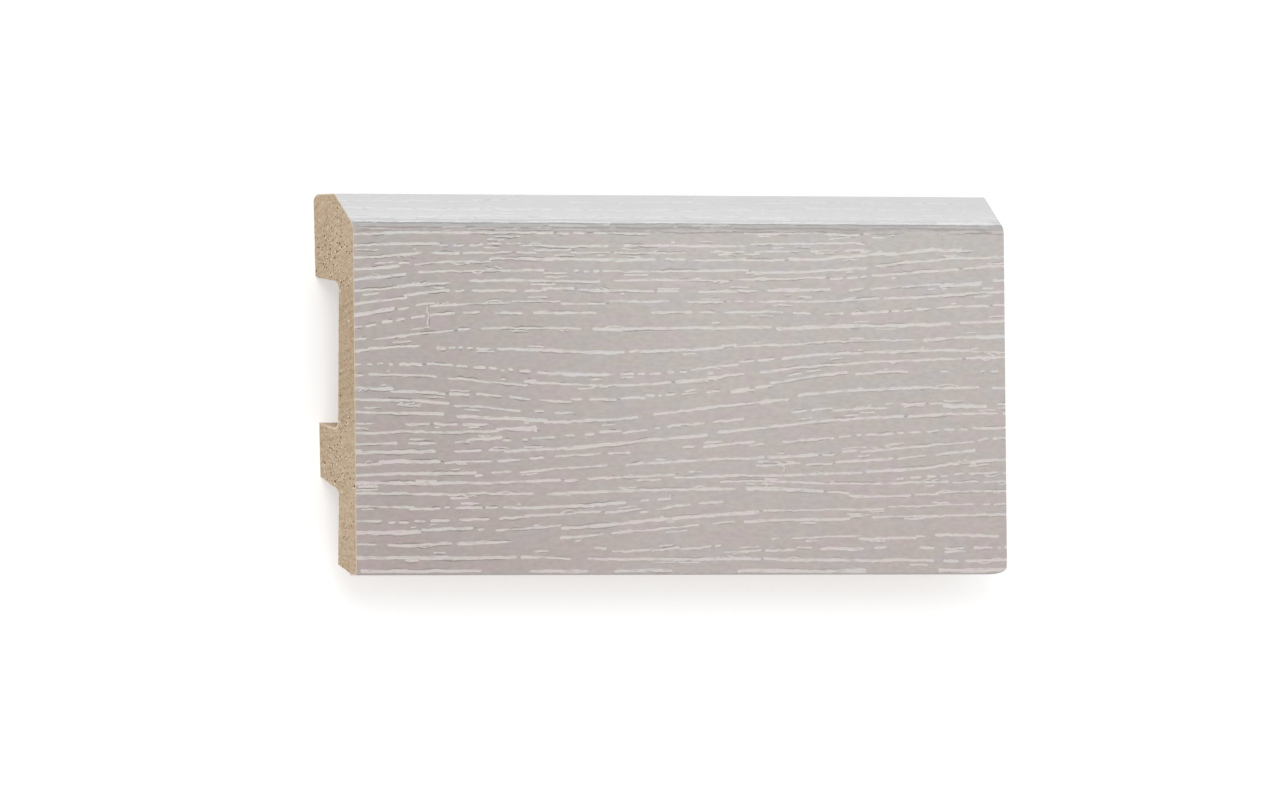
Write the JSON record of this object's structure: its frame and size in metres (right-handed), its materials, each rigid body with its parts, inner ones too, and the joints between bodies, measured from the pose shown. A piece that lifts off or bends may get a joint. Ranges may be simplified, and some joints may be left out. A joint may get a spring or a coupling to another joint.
{
  "type": "skirting board length",
  "caption": "Short length of film-wrapped fibreboard skirting with a bevelled top, a limed-oak printed face and a milled back with a hooked clip channel.",
  "frame": {"origin": "on the plane of the rib backs, under the middle of the board's length and width", "axes": "+X along the board, +Y towards the bevelled top edge, +Z out of the room side, up as the board lies on its ribs"},
  "size_m": [0.1616, 0.0804, 0.0157],
  "materials": {
    "mdf": "raw sawn and milled fibreboard",
    "decor_film": "satin printed decor film, pale pores on warm grey"
  },
  "bodies": {
    "root": {"mdf_core": "mdf", "decor_film": "decor_film"}
  },
  "joints": []
}
